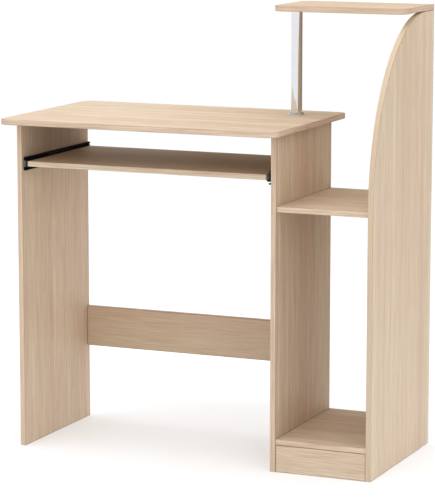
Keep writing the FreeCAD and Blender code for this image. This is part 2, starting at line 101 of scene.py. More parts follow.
class Signal:
    """A value on its way through a material: a node's output, which sums and products can be made of."""

    def __init__(self, tree, socket):
        self.tree = tree
        self.socket = socket

    def node(self, kind, settings=(), links=(), out=0):
        """Add a node: settings first, then the values or signals of its sockets. Returns its output."""
        made = self.tree.nodes.new("ShaderNode" + kind)
        for key, value in dict(settings).items():
            setattr(made, key, value)
        for key, value in dict(links).items():
            socket = find(made.inputs, key)
            if isinstance(value, Signal):
                self.tree.links.new(value.socket, socket)
            else:
                socket.default_value = value
        return Signal(self.tree, find(made.outputs, out))

    def math(self, operation, first, second=0.0):
        return self.node("Math", {"operation": operation}, {0: first, 1: second})

    def __add__(self, other):
        return self.math("ADD", self, other)

    def __radd__(self, other):
        return self.math("ADD", other, self)

    def __sub__(self, other):
        return self.math("SUBTRACT", self, other)

    def __rsub__(self, other):
        return self.math("SUBTRACT", other, self)

    def __mul__(self, other):
        return self.math("MULTIPLY", self, other)

    def __rmul__(self, other):
        return self.math("MULTIPLY", other, self)

    def __truediv__(self, other):
        return self.math("DIVIDE", self, other)

    def __abs__(self):
        return self.math("ABSOLUTE", self)

    def least(self, other):
        return self.math("MINIMUM", self, other)

    def most(self, other):
        return self.math("MAXIMUM", self, other)

    def root(self):
        return self.math("SQRT", self.most(0.0))

    def axis(self, name):
        """One of a place's three coordinates."""
        return self.node("SeparateXYZ", {}, {0: self}, name)

    def step(self, low, high):
        """0 at low, 1 at high and a smooth rise between."""
        return self.node("MapRange", {"interpolation_type": "SMOOTHSTEP"},
                         {"Value": self, "From Min": low, "From Max": high})

    def blend(self, first, second):
        """The colour first where this value is 0 and second where it is 1."""
        return self.node("Mix", {"data_type": "RGBA"},
                         {"Factor_Float": self, "A_Color": first, "B_Color": second}, "Result_Color")

    def noise(self, scale, detail=2.0, roughness=0.5):
        """Smooth noise of about 0 to 1 at this place, scale features to the unit."""
        return self.node("TexNoise", {}, {"Vector": self, "Scale": scale, "Detail": detail,
                                          "Roughness": roughness})

    def stretched(self, scale, shift=(0.0, 0.0, 0.0)):
        """This place, scaled along each axis and then shifted."""
        return self.node("Mapping", {"vector_type": "POINT"},
                         {"Vector": self, "Location": shift, "Scale": scale})


def new_finish(name):
    """A fresh material: returns it, its shader node and a signal of the place on the piece in metres."""
    material = bpy.data.materials.new(name)
    material.use_nodes = True
    tree = material.node_tree
    shader = tree.nodes["Principled BSDF"]
    coordinates = tree.nodes.new("ShaderNodeTexCoord")
    return material, shader, Signal(tree, coordinates.outputs["Object"])


def feed(shader, name, value):
    """Set a shader socket, or run a signal into it."""
    socket = shader.inputs[name]
    if isinstance(value, Signal):
        value.tree.links.new(value.socket, socket)
    else:
        socket.default_value = value


def build(name, grids, crease=38.0):
    """One object from grids of points: neighbours on a grid are joined by quads.

    Points that coincide become one, which closes seams and poles, and edges that turn
    by more than crease degrees stay sharp.
    """
    faces = []
    start = 0
    for grid in grids:
        rows, columns = grid.shape[:2]
        index = start + np.arange(rows * columns).reshape(rows, columns)
        quads = np.stack([index[:-1, :-1], index[1:, :-1], index[1:, 1:], index[:-1, 1:]], axis=-1)
        faces.append(quads.reshape(-1, 4))
        start += rows * columns
    mesh = bpy.data.meshes.new(name)
    mesh.from_pydata(np.concatenate([grid.reshape(-1, 3) for grid in grids]), [],
                     np.concatenate(faces))
    shape = bmesh.new()
    shape.from_mesh(mesh)
    bmesh.ops.remove_doubles(shape, verts=shape.verts, dist=2e-6)
    bmesh.ops.recalc_face_normals(shape, faces=shape.faces)
    shape.to_mesh(mesh)
    shape.free()
    mesh.shade_smooth()
    mesh.set_sharp_from_angle(angle=math.radians(crease))
    piece = bpy.data.objects.new(name, mesh)
    scene.collection.objects.link(piece)
    return piece


def softbox(name, place, aim, width, depth, watts):
    """A rectangular area light at place, turned towards aim."""
    lamp = bpy.data.lights.new(name, "AREA")
    lamp.shape = "RECTANGLE"
    lamp.size = width
    lamp.size_y = depth
    lamp.energy = watts
    holder = bpy.data.objects.new(name, lamp)
    holder.location = place
    holder.rotation_euler = (Vector(aim) - Vector(place)).to_track_quat("-Z", "Y").to_euler()
    holder.visible_glossy = False
    scene.collection.objects.link(holder)


softbox("overhead_box", (-0.5, -0.7, 3.2), (0.0, 0.0, 0.5), 3.5, 3.0, overhead_watts)
softbox("front_box", (2.5, -4.0, 2.6), (0.0, 0.0, 0.6), 2.5, 2.0, front_watts)

dome = bpy.data.worlds.new("dome")
dome.use_nodes = True
sky = dome.node_tree.nodes["Background"]
coordinates = dome.node_tree.nodes.new("ShaderNodeTexCoord")
direction = Signal(dome.node_tree, coordinates.outputs["Generated"])
height = direction.axis("Z")
upward = height.node("MapRange", {}, {"Value": height, "To Min": horizon_light, "To Max": zenith_light})
diffuse_light = upward * (1.0 + right_lift * direction.axis("X"))
mirror_light = height.node("MapRange", {}, {"Value": height,
                                            "From Min": ceiling_from, "From Max": ceiling_to,
                                            "To Min": backdrop_light, "To Max": ceiling_light})
mirrored = height.node("LightPath", {}, {}, "Is Glossy Ray")
seen = height.node("LightPath", {}, {}, "Is Camera Ray")
strength = height.node("Mix", {}, {"Factor": mirrored, "A": diffuse_light, "B": mirror_light})
sky.inputs["Color"].default_value = white
feed(sky, "Strength", height.node("Mix", {}, {"Factor": seen, "A": strength, "B": backdrop_light}))
scene.world = dome
scene.view_settings.view_transform = "Standard"
scene.view_settings.look = "None"
scene.view_settings.gamma = contrast_gamma

flag_turns = np.linspace(flag_from, flag_to, flag_columns)
turn, level = np.meshgrid(flag_turns, (0.0, flag_height), indexing="ij")
flag = build("flag", [np.stack([flag_reach * np.cos(turn), flag_reach * np.sin(turn), level], axis=-1)])
brown, brown_shader, _ = new_finish("flag_cloth")
feed(brown_shader, "Base Color", black)
feed(brown_shader, "Roughness", 1.0)
feed(brown_shader, "Emission Color", flag_colour)
feed(brown_shader, "Emission Strength", 1.0)
flag.data.materials.append(brown)
flag.visible_camera = False
flag.visible_diffuse = False
flag.visible_shadow = False

across, along = np.meshgrid((-floor_reach, floor_reach), (-floor_reach, floor_reach), indexing="ij")
floor = build("floor", [np.stack([across, along, np.zeros_like(across)], axis=-1)])
pale, pale_shader, _ = new_finish("pale_floor")
feed(pale_shader, "Base Color", floor_colour)
feed(pale_shader, "Roughness", 0.8)
feed(pale_shader, "Emission Color", white)
feed(pale_shader, "Emission Strength", floor_glow)
floor.data.materials.append(pale)


def wear(material, *pieces):
    """Give each of these pieces one material all over."""
    for piece in pieces:
        piece.data.materials.clear()
        piece.data.materials.append(material)


def bump(place, height, depth):
    """A surface normal from a height signal, depth metres deep."""
    return place.node("Bump", {}, {"Height": height, "Strength": 1.0, "Distance": depth}, "Normal")


# The boards are 12 mm chipboard faced with pale oak print under satin melamine, with the grain
# along each board's length. A thin printed band is glued round each edge. Its glue line is drawn as a
# hair-thin dark line just inside the arris, made darker and wider than the glue alone, as painted
# shade along the edges. Where boards butt together, a dark hairline is painted as the shadow in the
# gap. Cam locks and dowels join them.
oak_light = (0.76, 0.66, 0.53, 1.0)
oak_body = (0.68, 0.568, 0.438, 1.0)
oak_tan = (0.53, 0.405, 0.285, 1.0)
oak_pink = (0.67, 0.525, 0.41, 1.0)
oak_pore = (0.36, 0.245, 0.155, 1.0)
oak_line = (0.47, 0.35, 0.24, 1.0)
# The dark colour below is partly glue line and partly painted shade: it marks the glue line inside each
# arris and paints the shadow in the gaps where boards butt.
seam_and_gap_shade_colour = (0.16, 0.095, 0.055, 1.0)
band_thickness = 0.0009
seam_shade_half = 0.0004
gap_shadow_width = 0.0007
desktop_corner = 0.025
shelf_corner = 0.030
print_depth = 0.00006
grain_stretch = 0.018
sway_width = 0.008
sway_along = 3.0
sway_across = 9.0
wander_scale = 11.0
band_scale = 36.0
rub_scale = 60.0
line_scale = 230.0
streak_scale = 560.0
pore_scale = 1500.0


def rim_distance(place, node, thick, radius=0.0):
    """How far a point is inside the rim of a rectangular board with corners of this radius.

    With q the distance beyond the rectangle's inset core along each of its two sides, it is
    radius - |q| at the corners, and radius less the larger q elsewhere.
    """
    low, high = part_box(node)
    sides = [axis for axis in range(3) if axis != thick]
    beyond = []
    for axis in sides:
        middle = (low[axis] + high[axis]) / 2
        half = (high[axis] - low[axis]) / 2
        beyond.append(abs(place.axis("XYZ"[axis]) - middle) - (half - radius))
    one, other = beyond
    corner = (one.most(0.0) * one.most(0.0) + other.most(0.0) * other.most(0.0)).root()
    return radius - corner - one.most(other).least(0.0)


def square_back_corner(place, node, radius):
    """The top shelf's corner radius at each point: nothing at the back right, where it is left square."""
    low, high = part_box(node)
    right = (place.axis("X") - (low.x + high.x) / 2).step(0.0, 0.001)
    back = (place.axis("Y") - (low.y + high.y) / 2).step(0.0, 0.001)
    return radius - radius * (right * back)


def swept_rim(place, node, shelf, run):
    """How far a point is inside the tall panel's rim, whose front sweeps back in a quarter ellipse.

    Off the ellipse it is f / |grad f|, with f one less the root of the squared shares of its axes.
    """
    low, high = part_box(node)
    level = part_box(shelf)[1].z
    rise = high.z - level
    y = (place.axis("Y") - (low.y + run)).least(0.0)
    z = (place.axis("Z") - level).most(0.0)
    share = ((y * y) / (run * run) + (z * z) / (rise * rise)).root()
    slope = ((y * y) / run ** 4 + (z * z) / rise ** 4).root() / share
    sweep = (1.0 - share) / slope
    return sweep.least(rim_distance(place, node, 0))


def oak_finish(name, node, grain, thick, seed, figure, face, edge, rim, gap_shadow_ends):
    """Oak print. The grain's noise is stretched along one axis on a face, and along the rim on an edge.

    grain and thick are the numbers of the axes along the grain and through the board. figure is
    how strongly the print is marked, and face and edge are how brown the board's faces and its edge
    band are, from 0 to 1. rim returns how far inside the board's rim a place is. The last argument
    lists the ends (axis, side) at which the board butts against others, where a dark hairline is
    painted as the shadow in the gap between the boards.
    """
    material, shader, place = new_finish(name)
    face_axes = [1.0, 1.0, 1.0]
    face_axes[grain] = grain_stretch
    rim_axes = [grain_stretch] * 3
    rim_axes[thick] = 1.0
    shift = (seed * 1.37, seed * 2.11, seed * 0.83)
    sway_axes = [sway_along if axis == grain else sway_across for axis in range(3)]
    sway = place.stretched(sway_axes, shift).noise(1.0, 1.0)
    swayed = place.node("VectorMath", {"operation": "ADD"}, {
        0: place.stretched(face_axes, shift), 1: sway.node("CombineXYZ", {}, {
            "XYZ"[axis]: 0.0 if axis in (grain, thick) else sway * sway_width for axis in range(3)})})
    edgewise = place.stretched(rim_axes, shift)
    normal = place.node("NewGeometry", {}, {}, "True Normal")
    on_face = abs(normal.axis("XYZ"[thick])).step(0.4, 0.6)
    lay = place.node("Mix", {"data_type": "VECTOR"},
                     {"Factor_Float": on_face, "A_Vector": edgewise, "B_Vector": swayed}, "Result_Vector")
    wander = lay.noise(wander_scale, 1.0)
    bands = lay.noise(band_scale, 2.0, 0.55)
    lines = lay.noise(line_scale, 3.0, 0.65)
    streaks = lay.noise(streak_scale, 2.0, 0.6)
    pores = lay.noise(pore_scale, 1.0)
    tone = wander.step(0.38, 0.62).blend(oak_body, oak_pink)
    tone = (bands.step(0.50, 0.72) * 0.35).blend(tone, oak_tan)
    tone = (bands.step(0.48, 0.30) * 0.6).blend(tone, oak_light)
    tone = (lines.step(0.50, 0.64) * (0.42 * figure)).blend(tone, oak_tan)
    tone = (lines.step(0.44, 0.30) * (0.35 * figure)).blend(tone, oak_light)
    tone = (streaks.step(0.46, 0.60) * (0.60 * figure)).blend(tone, oak_line)
    tone = (pores.step(0.60, 0.74) * 0.28).blend(tone, oak_pore)
    tone = (edge + on_face * (face - edge)).blend(tone, oak_tan)
    inside = rim(place)
    # Partly glue line, partly painted shade: a dark line on the faces just inside the rim.
    seam_shade = (1.0 - (abs(inside - band_thickness) - seam_shade_half).step(0.0, seam_shade_half)) * on_face
    tone = (seam_shade * 0.6).blend(tone, seam_and_gap_shade_colour)
    rubbed = inside.step(band_thickness, 0.0) * lay.noise(rub_scale, 2.0).step(0.45, 0.7) * on_face
    tone = (rubbed * 0.35).blend(tone, oak_light)
    low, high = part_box(node)
    # Painted shadow: a dark hairline in the gap at each end where the board butts against another.
    for axis, side in gap_shadow_ends:
        end = high[axis] if side > 0 else low[axis]
        gap = abs(place.axis("XYZ"[axis]) - end)
        tone = (gap.step(gap_shadow_width, gap_shadow_width * 0.6) * 0.7).blend(tone, seam_and_gap_shade_colour)
    feed(shader, "Base Color", tone)
    feed(shader, "Roughness", 0.42 + 0.12 * streaks + 0.10 * pores)
    feed(shader, "Normal", bump(place, streaks * 0.6 + pores * 0.4 - seam_shade, print_depth))
    wear(material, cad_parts[node])


# Each board's entry is its grain axis, its thickness axis, its figure, the brown of its faces and of
# its edge band, and its rim. The desktop, the top shelf and the tall panel have shaped rims.
sweep_run = 0.330
boards = {
    "desktop": (0, 2, 1.0, 0.0, 0.0,
                lambda place: rim_distance(place, "desktop", 2, desktop_corner)),
    "top_shelf": (0, 2, 0.8, 0.0, 0.05,
                  lambda place: rim_distance(place, "top_shelf", 2,
                                             square_back_corner(place, "top_shelf", shelf_corner))),
    "tall_side_panel": (2, 0, 0.5, 0.0, 0.35,
                        lambda place: swept_rim(place, "tall_side_panel", "middle_shelf", sweep_run)),
}
for node, grain, thick, figure, face, edge in (
        ("keyboard_tray", 0, 2, 1.0, 0.35, 0.1),
        ("middle_shelf", 0, 2, 1.0, 0.0, 0.0),
        ("base_shelf", 0, 2, 1.0, 0.0, 0.0),
        ("plinth_board", 0, 1, 0.9, 0.05, 0.0),
        ("back_stretcher", 0, 1, 0.85, 0.35, 0.1),
        ("left_side_panel", 2, 0, 0.7, 0.0, 0.2),
        ("middle_side_panel", 2, 0, 0.8, 0.0, 0.05)):
    boards[node] = (grain, thick, figure, face, edge,
                    lambda place, node=node, thick=thick: rim_distance(place, node, thick))
# The ends at which each board butts against others, where a painted shadow line marks the gap.
both_ends = ((0, -1), (0, 1))
gap_shadow_boards = {"middle_shelf": both_ends, "base_shelf": both_ends, "back_stretcher": both_ends,
          "plinth_board": both_ends + ((2, 1),)}
for seed, (node, (grain, thick, figure, face, edge, rim)) in enumerate(boards.items(), 1):
    oak_finish("oak_" + node, node, grain, thick, seed, figure, face, edge, rim, gap_shadow_boards.get(node, ()))


# Seventeen die-cast cam locks sit in round pockets and pull the boards together. Each is a zinc disc
# with a cross recess for the screwdriver, a raised rim and an arrow that shows which way it draws.
cam_radius = 0.00595
cam_depth = 0.0088
cam_reach = 0.024
cam_inset = 0.050
cross_long = 0.0036
cross_wide = 0.0007
cross_deep = 0.0016
arrow_place = 0.0046
arrow_size = 0.0009
arrow_rise = 0.00025
cam_chamfer = 0.0004
cam_rim_edge = 0.0003
cam_rim_inside = 0.0008
cam_face_start = 0.0009
cam_face_drop = 0.0002
cam_face_ring = 0.0013
cam_face_rings = 14
cam_sides = 48
top_cam_inset = 0.026
top_dowel_offset = 0.016
left = (-1, 0, 0)
right = (1, 0, 0)
down = (0, 0, -1)
back = (0, 1, 0)


def turned(profile, foot, axis, sides, sink=None, relief=None):
    """Points of a turned shape: each (radius, height) of the profile swings round the axis through foot.

    relief says how far the radius is cut in, from the turn and the height, and sink how deep a
    point is pressed along the axis, from its place across the axis and its height.
    """
    axis = np.asarray(axis, float)
    one = np.roll(axis, 1)
    other = np.cross(axis, one)
    turn = np.linspace(0.0, 2.0 * math.pi, sides + 1)
    radius, height = (column[:, None] + 0.0 * turn for column in np.asarray(profile, float).T)
    if relief:
        radius = np.maximum(radius - relief(turn, height), 0.0)
    x = radius * np.cos(turn)
    y = radius * np.sin(turn)
    x[:, -1] = x[:, 0]
    y[:, -1] = y[:, 0]
    if sink:
        height = height - sink(x, y, height)
    return np.asarray(foot, float) + x[..., None] * one + y[..., None] * other + height[..., None] * axis


def eased(value):
    """0 below 0, 1 above 1 and a smooth rise between."""
    value = np.clip(value, 0.0, 1.0)
    return value * value * (3.0 - 2.0 * value)


def cross_recess(long, wide, deep, floor):
    """A screwdriver's cross: a point above floor sinks where it lies within wide of an arm's middle."""
    edge = wide * 0.5

    def sink(x, y, height):
        along = np.maximum(abs(x), abs(y))
        aside = np.minimum(abs(x), abs(y))
        return deep * eased((long - along) / edge) * eased((wide - aside) / edge) * (height > floor)
    return sink


def cam_face(x, y, height):
    """The cam's cross recess, less a small raised triangle for its arrow."""
    top = cam_depth - cross_deep
    arrow = eased((arrow_size - abs(y) - 0.6 * abs(x - arrow_place)) / (0.3 * arrow_size))
    recess = cross_recess(cross_long, cross_wide, cross_deep, top)(x, y, height)
    return recess - arrow_rise * arrow * (height > top)


def mottled(name, dark, light, metallic, roughness, spread, scale, depth):
    """A plated, cast, moulded or turned finish: its colour, gloss and surface vary with soft noise."""
    material, shader, place = new_finish(name)
    patches = place.noise(scale, 3.0, 0.6)
    grit = place.noise(scale * 9.0, 2.0)
    feed(shader, "Base Color", patches.step(0.3, 0.7).blend(dark, light))
    feed(shader, "Metallic", metallic)
    feed(shader, "Roughness", roughness + spread * patches + spread * grit)
    feed(shader, "Normal", bump(place, grit, depth))
    return material


panel_low, panel_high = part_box("left_side_panel")
fore = panel_low.y + cam_inset
aft = panel_high.y - cam_inset
mid = (fore + aft) / 2
cams = []
dowels = []
for name in ("left_side_panel", "middle_side_panel"):
    low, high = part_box(name)
    x = (low.x + high.x) / 2
    cams += [((x, y, high.z), down, left) for y in (fore, aft)]
    dowels += [((x, mid, high.z), down)]
for name in ("middle_shelf", "base_shelf"):
    low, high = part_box(name)
    z = (low.z + high.z) / 2
    for x, inward in ((low.x, right), (high.x, left)):
        cams += [((x, y, z), inward, down) for y in (fore, aft)]
        dowels += [((x, mid, z), inward)]
for name, cam_heights, dowel_heights in (
        ("plinth_board", (0.038,), (0.016,)),
        ("back_stretcher", (0.2215,), (0.1895, 0.2535))):
    low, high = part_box(name)
    y = (low.y + high.y) / 2
    for x, inward in ((low.x, right), (high.x, left)):
        cams += [((x, y, z), inward, back) for z in cam_heights]
        dowels += [((x, y, z), inward) for z in dowel_heights]
low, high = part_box("tall_side_panel")
x = (low.x + high.x) / 2
top_cam_y = high.y - top_cam_inset
cams.append(((x, top_cam_y, high.z), down, left))
dowels += [((x, top_cam_y + aside, high.z), down) for aside in (-top_dowel_offset, top_dowel_offset)]

board_half = (panel_high.x - panel_low.x) / 2
cam_profile = [(0.0, 0.0), (cam_radius - cam_chamfer, 0.0), (cam_radius, cam_chamfer),
               (cam_radius, cam_depth - cam_rim_edge), (cam_radius - cam_rim_edge, cam_depth),
               (cam_radius - cam_rim_inside, cam_depth),
               (cam_radius - cam_face_start, cam_depth - cam_face_drop)]
cam_profile += [(radius, cam_depth - cam_face_drop)
                for radius in np.linspace(cam_radius - cam_face_ring, 0.0, cam_face_rings)]
cam_grids = []
for spot, inward, face in cams:
    spot, inward, face = (np.asarray(part, float) for part in (spot, inward, face))
    bottom = spot + inward * cam_reach + face * (board_half - cam_depth)
    cam_grids.append(turned(cam_profile, bottom, face, cam_sides, cam_face))
cast = mottled("cast_zinc", (0.42, 0.42, 0.44, 1.0), (0.60, 0.60, 0.62, 1.0),
               0.9, 0.42, 0.10, 300.0, 0.00004)
cam_discs = build("cam_discs", cam_grids, 30.0)
wear(cast, cam_discs)
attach(cam_discs, "root")
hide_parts("cam_locks")

# Each cam grips the head of a turned steel pin, whose coarse thread is driven into the other board.
# The pins and all the screws are zinc plated, with the thread rolled in.
pin_thread = 0.009
pin_pitch = 0.0015
pin_radius = 0.00245
pin_thread_depth = 0.0005
pin_sides = 20
thread_rows = 8
pin_steps = ((0.0022, 0.017), (0.0014, 0.0035), (0.0024, 0.003))


def rolled_thread(pitch, depth, length):
    """A thread's cut: depth times how far the height is from the crest of the helix, in half pitches."""
    def relief(turn, height):
        phase = (height / pitch - turn / (2.0 * math.pi)) % 1.0
        return depth * (1.0 - abs(2.0 * phase - 1.0)) * (height < length)
    return relief


def stepped(start, steps):
    """A turned profile of plain steps (radius, length) from start, with the pole closed at its end."""
    profile = []
    height = start
    for radius, length in steps:
        profile += [(radius, height), (radius, height + length)]
        height += length
    return profile + [(0.0, height)]


def threaded(radius, length, pitch):
    """The profile of a threaded length from a blunt point, with thread_rows heights to each turn."""
    rows = int(thread_rows * length / pitch)
    heights = np.linspace(0.0, length, rows)
    point = eased(heights / (2.0 * pitch))
    return [(0.0, 0.0)] + [(radius * (0.55 + 0.45 * share), height)
                           for share, height in zip(point, heights)]


zinc = mottled("zinc_plate", (0.50, 0.52, 0.56, 1.0), (0.68, 0.68, 0.66, 1.0),
               1.0, 0.24, 0.10, 220.0, 0.00002)
pin_profile = threaded(pin_radius, pin_thread, pin_pitch) + stepped(pin_thread, pin_steps)
pin_grids = []
for spot, inward, face in cams:
    inward = np.asarray(inward, float)
    pin_grids.append(turned(pin_profile, np.asarray(spot, float) - inward * pin_thread, inward, pin_sides,
                            relief=rolled_thread(pin_pitch, pin_thread_depth, pin_thread)))
cam_pins = build("cam_pins", pin_grids)
wear(zinc, cam_pins)
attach(cam_pins, "root")
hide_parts("cam_bolts")

# Beech dowels line the boards up beside the cams. They are fluted along their length, so that glue
# and air can escape, and chamfered at both ends.
dowel_radius = 0.003
dowel_in_edge = 0.016
dowel_in_face = 0.008
dowel_chamfer = 0.0008
flutes = 12
flute_depth = 0.00022
beech_dark = (0.68, 0.49, 0.31, 1.0)
beech_light = (0.78, 0.60, 0.41, 1.0)
beech_fleck = (0.50, 0.30, 0.17, 1.0)


def fluting(turn, height):
    """The flutes' cut: a cosine wave round the dowel."""
    return flute_depth * (0.5 - 0.5 * np.cos(flutes * turn)) + 0.0 * height


beech, beech_shader, place = new_finish("beech_dowel")
fibres = place.stretched((60.0, 60.0, 60.0)).noise(4.0, 3.0)
flecks = place.noise(2600.0, 1.0)
feed(beech_shader, "Base Color", (flecks.step(0.58, 0.7) * 0.5).blend(
    fibres.step(0.35, 0.65).blend(beech_dark, beech_light), beech_fleck))
feed(beech_shader, "Roughness", 0.62 + 0.15 * fibres)
feed(beech_shader, "Normal", bump(place, flecks, 0.00003))
length = dowel_in_edge + dowel_in_face
dowel_profile = [(0.0, 0.0), (dowel_radius - dowel_chamfer, 0.0), (dowel_radius, dowel_chamfer),
                 (dowel_radius, length - dowel_chamfer), (dowel_radius - dowel_chamfer, length),
                 (0.0, length)]
fluted_dowels = build("fluted_dowels", [
    turned(dowel_profile, np.asarray(spot, float) - np.asarray(inward, float) * dowel_in_face, inward,
           8 * flutes, relief=fluting) for spot, inward in dowels])
wear(beech, fluted_dowels)
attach(fluted_dowels, "root")
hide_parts("wooden_dowels")

# The tray runs on a pair of ball-bearing slides. Each has two channels rolled from 1.2 mm steel strip
# that face each other, the outer one on the panel and the inner one on the tray's edge. They are
# dipped in black, and the balls rub their races bright. Inside their front ends, the faces that look
# into the channel are painted pale grey, as painted light coming in through the open mouth.
strip = 0.0012
bend = 0.0020
flat_margin = 0.00005
lip = 0.0026
race_u = 0.0048
race_rise = 0.0003
screw_places = (0.032, 0.160, 0.280)
slides = {
    "left": (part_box("left_slide_outer_member")[0].x, 1.0),
    "right": (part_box("right_slide_outer_member")[1].x, -1.0),
}
outer_low, outer_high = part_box("left_slide_outer_member")
inner_low, inner_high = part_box("left_slide_inner_member")
slide_level = (outer_low.z + outer_high.z) / 2
slide_width = inner_high.x - outer_low.x
outer_half = outer_high.z - slide_level
inner_half = inner_high.z - slide_level
outer_reach = outer_high.x - outer_low.x
inner_reach = inner_low.x - outer_low.x
race_v = (outer_half - strip + inner_half) / 2
coat_black = (0.007, 0.007, 0.008, 1.0)
# The pale grey below is painted light inside each channel's front end, where light comes in through the
# mouth.
mouth_light_grey = (0.60, 0.60, 0.59, 1.0)
race_bright = (0.32, 0.32, 0.33, 1.0)
race_half = 0.0008
race_fade = 0.001
race_bend = 0.006
neck_bend = 0.005
neck_run = 0.003
inner_lip_lift = 0.0001
mouth_light_from = 0.014
mouth_light_to = 0.034
burr_width = 0.00015


def rounded_path(corners, radii, steps=6):
    """A path through corners on a plane, each inner one rounded to its radius.

    An arc leaves its corner's sides at radius times the tangent of half the turn from the corner,
    about a centre on the corner's bisector, at radius over the cosine of half the turn. A point
    flat_margin before and after each arc keeps the flats beside it shaded flat.
    """
    corners = [np.asarray(corner, float) for corner in corners]
    path = [corners[0]]
    for before, corner, after, radius in zip(corners, corners[1:], corners[2:], radii):
        come = (corner - before) / np.linalg.norm(corner - before)
        go = (after - corner) / np.linalg.norm(after - corner)
        turn = math.atan2(come[0] * go[1] - come[1] * go[0], come @ go)
        bisector = (go - come) / np.linalg.norm(go - come)
        centre = corner + bisector * radius / math.cos(turn / 2)
        reach = radius * math.tan(abs(turn) / 2)
        spoke = corner - come * reach - centre
        path.append(corner - come * (reach + flat_margin))
        for angle in np.linspace(0.0, turn, steps):
            path.append(centre + np.array([spoke[0] * math.cos(angle) - spoke[1] * math.sin(angle),
                                           spoke[0] * math.sin(angle) + spoke[1] * math.cos(angle)]))
        path.append(corner + go * (reach + flat_margin))
    return np.array(path + [corners[-1]])


def rolled_strip(path, thickness, side, y0, y1):
    """A strip of this thickness bent along a path of (u, v) and carried from y0 to y1.

    Its two faces are the path moved half the thickness along its normals, closed by a strip of
    quads at each end and along each lip.
    """
    face, sign = side
    run = np.gradient(path, axis=0)
    run /= np.linalg.norm(run, axis=1)[:, None]
    normal = np.stack([-run[:, 1], run[:, 0]], axis=1)
    faces = [path + normal * thickness / 2, path - normal * thickness / 2]
    loop = np.concatenate([faces[0], faces[1][::-1], faces[0][:1]])

    def at(outline, y):
        """The outline's (u, v) points in the frame, at this y."""
        return np.stack([face + sign * outline[..., 0], np.full(outline.shape[:-1], y),
                         slide_level + outline[..., 1]], axis=-1)

    stations = np.linspace(y0, y1, 9)
    sides = np.stack([at(loop, y) for y in stations], axis=1)
    ends = [at(np.stack(faces), y) for y in (y0, y1)]
    return [sides] + ends


def deburr(piece, width):
    """Break the cut edges of sheet metal."""
    edge = piece.modifiers.new("deburr", "BEVEL")
    edge.width = width
    edge.segments = 2
    edge.limit_method = "ANGLE"
    edge.angle_limit = math.radians(50.0)


def coat_finish(name, side, inward):
    """The black dip coat: orange peel, painted pale light inside the front end, rubbed at the races."""
    material, shader, place = new_finish(name)
    peel = place.noise(900.0, 2.0, 0.5)
    cloud = place.noise(60.0, 3.0, 0.6)
    facing = place.node("NewGeometry", {}, {}, "True Normal").axis("X") * (side[1] * inward)
    v = abs(place.axis("Z") - slide_level)
    u = (place.axis("X") - side[0]) * side[1]
    mouth = (place.axis("Y") - outer_low.y).step(mouth_light_to, mouth_light_from)
    # Painted light: near the front end, the faces that look into the channel are made pale grey, as if lit
    # through the open mouth.
    mouth_light = facing.step(0.6, 0.9) * (0.8 + 0.4 * cloud) * mouth * v.step(inner_half, inner_half - strip)
    on_race = abs(u - race_u).step(race_half, race_half * 0.4)
    between = abs(v - race_v).step(race_v - inner_half + race_fade, race_v - inner_half)
    rubbed = on_race * between * place.stretched((1.0, 0.05, 1.0)).noise(700.0, 2.0).step(0.35, 0.6)
    feed(shader, "Base Color", rubbed.blend(mouth_light.blend(coat_black, mouth_light_grey), race_bright))
    feed(shader, "Metallic", rubbed)
    feed(shader, "Roughness", 0.42 + 0.12 * cloud - 0.12 * rubbed)
    feed(shader, "Specular IOR Level", 0.15)
    feed(shader, "Normal", bump(place, peel, 0.00002))
    return material


def mirrored(half_path):
    """A (u, v) path drawn for v above 0, joined to its mirror image below."""
    return list(half_path) + [(u, -v) for u, v in reversed(half_path)]


outer_v = outer_half - strip / 2
outer_u = outer_reach - strip / 2
inner_v = inner_half - strip / 2
inner_u = slide_width - strip / 2
outer_path = rounded_path(
    mirrored([(outer_u, outer_half - lip), (outer_u, outer_v), (race_u, outer_v + race_rise),
              (strip / 2, outer_v)]),
    [bend, race_bend, bend, bend, race_bend, bend])
inner_path = rounded_path(
    mirrored([(inner_reach, inner_v + inner_lip_lift), (race_u, inner_v - race_rise),
              (race_u + neck_run, inner_v), (inner_u, inner_v)]),
    [neck_bend, neck_bend, bend, bend, neck_bend, neck_bend])
for hand, side in slides.items():
    for member, path, body in (("outer", outer_path, "root"), ("inner", inner_path, "tray")):
        node = hand + "_slide_" + member + "_member"
        low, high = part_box(node)
        rail = build(hand + "_" + member + "_rail", rolled_strip(path, strip, side, low.y, high.y))
        deburr(rail, burr_width)
        inward = 1.0 if member == "outer" else -1.0
        wear(coat_finish(hand + "_" + member + "_coat", side, inward), rail)
        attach(rail, body)
        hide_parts(node)

# Between the channels of each slide rolls a zinc strip cage, bent round the inner one and coloured
# dark. It has a raised collar round each of its sixteen pockets and a steel ball in every pocket.
cage_strip = 0.0007
cage_u = 0.00185
cage_bend = 0.0009
cage_margin = 0.008
cage_wrap = 0.0016
ball_radius = 0.0026
ball_pitch = 0.012
ball_sides = 24
ball_rings = 17
balls_per_row = 8
pocket_bore = 0.00268
pocket_profile = [(pocket_bore, -0.0004), (0.0031, -0.0004), (0.0032, 0.0), (0.0031, 0.0006),
                  (0.0029, 0.0007), (pocket_bore, 0.0006), (pocket_bore, -0.0004)]
arc = np.linspace(-math.pi / 2, math.pi / 2, ball_rings)
ball_profile = np.stack([ball_radius * np.cos(arc), ball_radius * np.sin(arc)], axis=1)
ball_profile[[0, -1], 0] = 0.0
bright = mottled("bright_steel", (0.62, 0.61, 0.58, 1.0), (0.84, 0.84, 0.86, 1.0),
                 1.0, 0.08, 0.06, 400.0, 0.000004)
dark_cage_zinc = mottled("dark_cage_plating", (0.06, 0.058, 0.05, 1.0), (0.24, 0.235, 0.22, 1.0),
                  0.85, 0.30, 0.12, 180.0, 0.00002)
